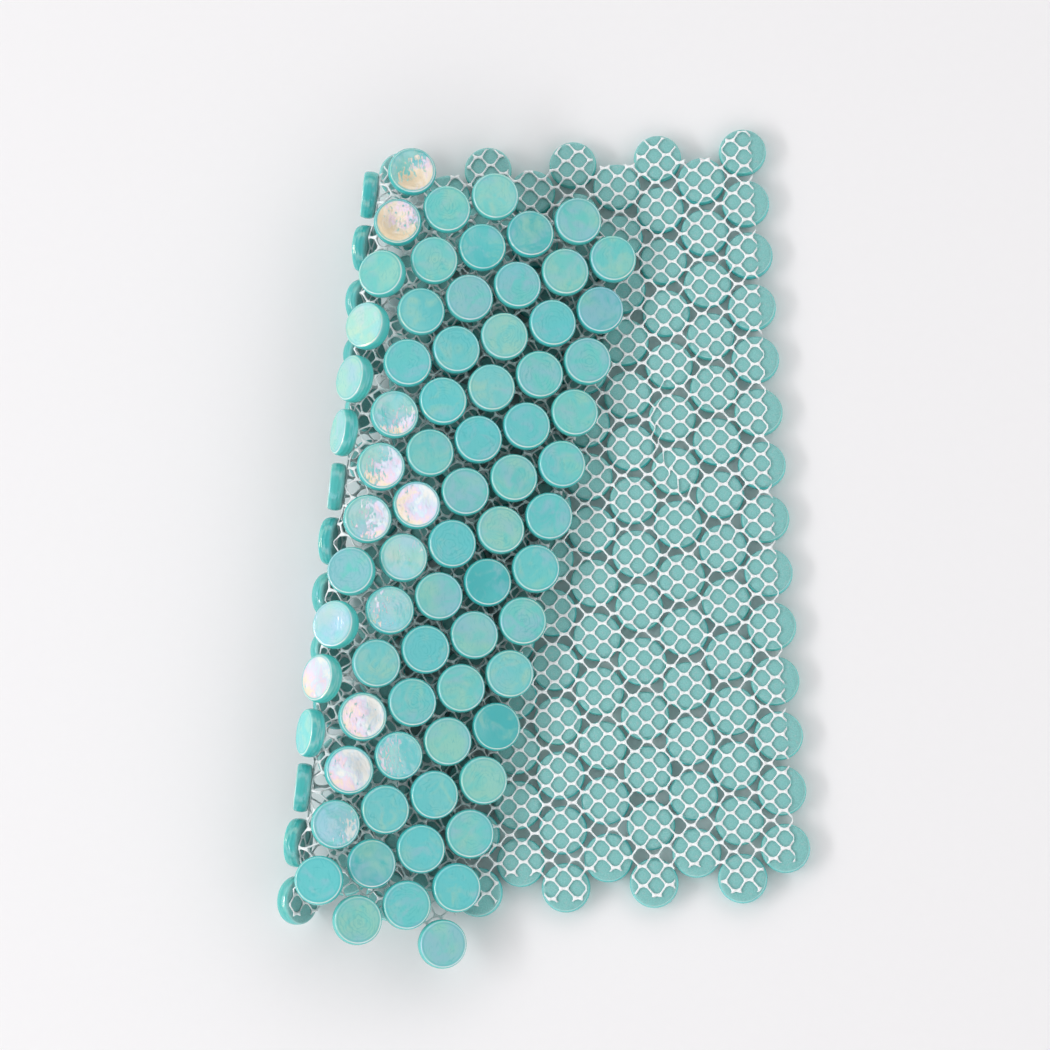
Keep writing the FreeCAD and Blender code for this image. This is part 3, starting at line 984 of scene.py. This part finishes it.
# %% [markdown]
# ## Dull back
#
# The back lay on the mould, so it is coarse and dull, which also helps the glue to grip. Fine
# grain does most of it, light and dark, with a touch of pink from the glue. The back could have
# a material of its own, but then the edge between the two would be sharp. Here the height over
# the back blends one into the other.

# %% Finish the back and the whole tile
BACK_LIGHT, BACK_DARK = (0.26, 0.59, 0.57), (0.19, 0.47, 0.46)
BACK_PINK, PINK_SHARE = (0.42, 0.52, 0.53), 0.5
BACK_HIGHLIGHT_SHARE, BACK_DULL, GRAIN_DEPTH = 0.7, 0.45, 0.03

grain = glass.noise(spot, 0.5, 3)
dull = glass.mix(glass.ease(grain, 0.25, 0.75), BACK_DARK, BACK_LIGHT)
glued = glass.ease(glass.noise(spot, 0.9, 3), 0.5, 0.8)
dull = glass.mix(glued * PINK_SHARE, dull, BACK_PINK)
# painted highlight on the back's edge
dull = glass.mix(back_edge_highlight * BACK_HIGHLIGHT_SHARE, dull, RIM_LIGHT)
coarse = glass.bump(grain * GRAIN_DEPTH)
back = glass.gloss(Base_Color=dull, Roughness=BACK_DULL, Normal=coarse)
pearly_glass = glass.done(glass.blend(on_back, front, back))
for piece in columns:
    piece.data.materials.append(pearly_glass)

# %% [markdown]
# ## White thread
#
# The net is thin white plastic thread. It is nearly even in colour, a little grey and pinkish
# where glue has soaked into the knots, and has the fine twist of yarn. The twist could be
# modelled, but it is finer than the photo shows, so bump does it.

# %% Thread finish
THREAD, SOAKED, SOAKED_SHARE = (0.95, 0.965, 0.975), (0.76, 0.71, 0.74), 0.6
THREAD_DULL, YARN_DEPTH = 0.45, 0.06

thread = Finish(bpy.data.materials.new("white_thread"))
spot = thread.node("TexCoord", output="Object")
soaked = thread.ease(thread.noise(spot, 2.2, 2), 0.5, 0.75)
white = thread.mix(soaked * SOAKED_SHARE, THREAD, SOAKED)
yarn = thread.bump(thread.noise(spot, 0.35, 2) * YARN_DEPTH)
thread_gloss = thread.gloss(Base_Color=white, Roughness=THREAD_DULL, Normal=yarn)
net_mesh.materials.append(thread.done(thread_gloss))

# %% [markdown]
# ## Floor
#
# The sheet lies on plain pale paper. It is a stage for the picture and not part of the object,
# so it is declared as one. Its tone, a little below white, leaves room for the shadows.

# %% Lay the floor
FLOOR_SIZE, FLOOR_TONE, FIBRE_DARK, FLOOR_DULL = 6.0, (0.90, 0.885, 0.90), 0.985, 0.8

plane = bmesh.new()
bmesh.ops.create_grid(plane, x_segments=1, y_segments=1, size=FLOOR_SIZE)
floor = add_object("studio_floor", as_mesh(plane, "studio_floor"))
paper = Finish(bpy.data.materials.new("floor_paper"))
fibre = paper.noise(paper.node("TexCoord", output="Object"), 4, 4)
tone = paper.mix(fibre, FLOOR_TONE, [value * FIBRE_DARK for value in FLOOR_TONE])
paper_gloss = paper.gloss(Base_Color=tone, Roughness=FLOOR_DULL)
floor.data.materials.append(paper.done(paper_gloss))
floor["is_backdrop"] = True

# %% [markdown]
# ## Light
#
# The white room does most of the lighting. Its walls are bright and its ceiling is dark, so
# little light falls straight down into the narrow gaps between the tiles. A long, narrow lamp
# low on the left gives the soft shadows to the right and the streaks on the tiles' walls. A
# weak softbox overhead is what the named tiles beside the fold mirror.

# %% Room and lamps
ROOM_LIGHT = 1.83
# brightness of the room by height, from the horizon at 0 to straight overhead at 1
ROOM_STOPS = (
    (0.0, 0.1), (0.2, 0.35), (0.4, 1.0), (0.6, 1.0), (0.76, 0.2), (0.88, 0.06), (1.0, 0.05),
)
side_lamp_place, side_lamp_length, side_lamp_width = (-2.1, -0.3, 1.24), 1.8, 0.3
side_lamp_power, softbox_power = 19.5, 0.32
sheet_middle = (-0.03, 0.0, 0.0)

room = Finish(bpy.data.worlds.new("white_room"))
toward_sky = room.part(room.node("TexCoord", output="Generated"), 2)
greys = [(place, (grey, grey, grey)) for place, grey in ROOM_STOPS]
room_tone = room.node("ValToRGB", {"stops": greys}, {0: toward_sky})
room_light = room.node("Background", None, {"Color": room_tone, "Strength": ROOM_LIGHT})
bpy.context.scene.world = room.done(room_light, "OutputWorld")


def lamp(name, place, length, width, power):
    """An area lamp at a place in metres, turned to the sheet's middle."""
    light = bpy.data.lights.new(name, "AREA")
    light.shape, light.size, light.size_y, light.energy = "RECTANGLE", length, width, power
    thing = add_object(name, light)
    thing.location = place
    way = Vector(sheet_middle) - Vector(place)
    thing.rotation_euler = way.to_track_quat("-Z", "Y").to_euler()
    print(name, "lights from", round(way.length, 2), "m away")


lamp("side_lamp", side_lamp_place, side_lamp_length, side_lamp_width, side_lamp_power)
lamp("softbox", softbox_place, softbox_length, softbox_width, softbox_power)

# %% [markdown]
# ## Camera
#
# The camera hangs over the sheet, tipped a little, with a long lens that shows little
# perspective. Its place and its turn come from the tile centres in the photo: they fit to
# about two pixels.

# %% Camera
camera_lens, sensor_width = 100.57, 36.0
nearest_seen, furthest_seen = 0.01, 50
camera_back = Vector((0.0900, -0.1727, 0.9808)).normalized()
camera_right = Vector((0.0630, 0.9839, 0.1675)).cross(camera_back).normalized()

camera = add_object("camera", bpy.data.cameras.new("camera"))
camera.data.lens, camera.data.sensor_width = camera_lens, sensor_width
camera_turn = Matrix((camera_right, camera_back.cross(camera_right), camera_back)).transposed()
camera.matrix_world = camera_turn.to_4x4()
camera.location = camera_place
camera.data.clip_start, camera.data.clip_end = nearest_seen, furthest_seen
bpy.context.scene.camera = camera
bpy.context.scene.view_settings.view_transform = "Standard"
print("camera tipped by", round(math.degrees(math.acos(camera_back.z)), 1), "degrees")

# %% [markdown]
# ## Sizes at the end
#
# Both boxes, the frame's and the visual model's, are worked out and printed at the end. The
# visual model has to stay inside the frame's box.

# %% Sizes and the end
seen_low, seen_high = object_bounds()
boxes = {"cad": [list(cad_low), list(cad_high)], "visual": [list(seen_low), list(seen_high)]}
for name, (low, high) in boxes.items():
    print(name, "box in mm:", *([round(1000 * v, 1) for v in corner] for corner in (low, high)))
